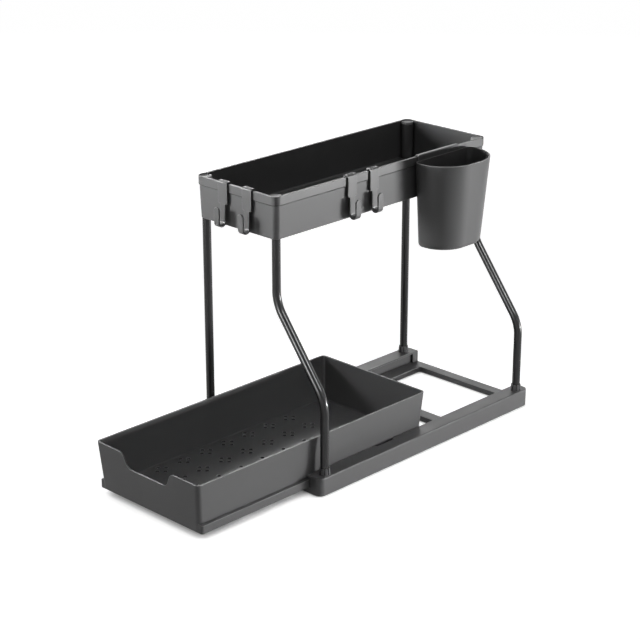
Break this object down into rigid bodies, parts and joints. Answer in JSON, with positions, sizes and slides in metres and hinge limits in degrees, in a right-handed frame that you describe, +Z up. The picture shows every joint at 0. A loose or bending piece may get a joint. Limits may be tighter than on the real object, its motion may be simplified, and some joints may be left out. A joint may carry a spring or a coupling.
{
  "type": "two-tier pull-out organiser",
  "caption": "Two-tier cabinet organiser: moulded base with side rails and a sliding drawer, bent tube legs, a raised narrow tray, over-rim hooks and a hang-on cup.",
  "frame": {"origin": "on the surface that the rack stands on, under the middle of the whole object with its drawer pulled out as pictured", "axes": "+Z up, +X towards the cup side, -Y towards the drawer's front"},
  "size_m": [0.205, 0.542, 0.3373],
  "materials": {
    "moulding": "satin charcoal moulded plastic",
    "hook_plastic": "satin charcoal moulded plastic",
    "leg_steel": "satin black powder-coated steel tube",
    "bush_plastic": "satin charcoal moulded plastic",
    "plug_plastic": "pale grey gloss",
    "foot_rubber": "matte black rubber"
  },
  "bodies": {
    "frame": {"base_frame": "moulding", "upper_tray": "moulding", "leg_front_left": "leg_steel", "bush_front_left": "bush_plastic", "plug_front_left": "plug_plastic", "foot_front_left": "foot_rubber", "leg_rear_left": "leg_steel", "bush_rear_left": "bush_plastic", "plug_rear_left": "plug_plastic", "foot_rear_left": "foot_rubber", "leg_front_right": "leg_steel", "bush_front_right": "bush_plastic", "plug_front_right": "plug_plastic", "foot_front_right": "foot_rubber", "leg_rear_right": "leg_steel", "bush_rear_right": "bush_plastic", "plug_rear_right": "plug_plastic", "foot_rear_right": "foot_rubber"},
    "drawer": {"drawer": "moulding"},
    "cup": {"cup": "moulding"},
    "hook_front_1": {"hook_front_1": "hook_plastic"},
    "hook_front_2": {"hook_front_2": "hook_plastic"},
    "hook_side_1": {"hook_side_1": "hook_plastic"},
    "hook_side_2": {"hook_side_2": "hook_plastic"}
  },
  "joints": [
    {"name": "drawer_slide", "type": "slide", "parent": "frame", "child": "drawer", "axis": [0, -1, 0], "range_m": [-0.167, 0.055]},
    {"name": "cup_lift", "type": "slide", "parent": "frame", "child": "cup", "axis": [0, 0, 1], "range_m": [0, 0.04]},
    {"name": "hook_front_1_lift", "type": "slide", "parent": "frame", "child": "hook_front_1", "axis": [0, 0, 1], "range_m": [0, 0.02]},
    {"name": "hook_front_2_lift", "type": "slide", "parent": "frame", "child": "hook_front_2", "axis": [0, 0, 1], "range_m": [0, 0.02]},
    {"name": "hook_side_1_lift", "type": "slide", "parent": "frame", "child": "hook_side_1", "axis": [0, 0, 1], "range_m": [0, 0.02]},
    {"name": "hook_side_2_lift", "type": "slide", "parent": "frame", "child": "hook_side_2", "axis": [0, 0, 1], "range_m": [0, 0.02]}
  ]
}
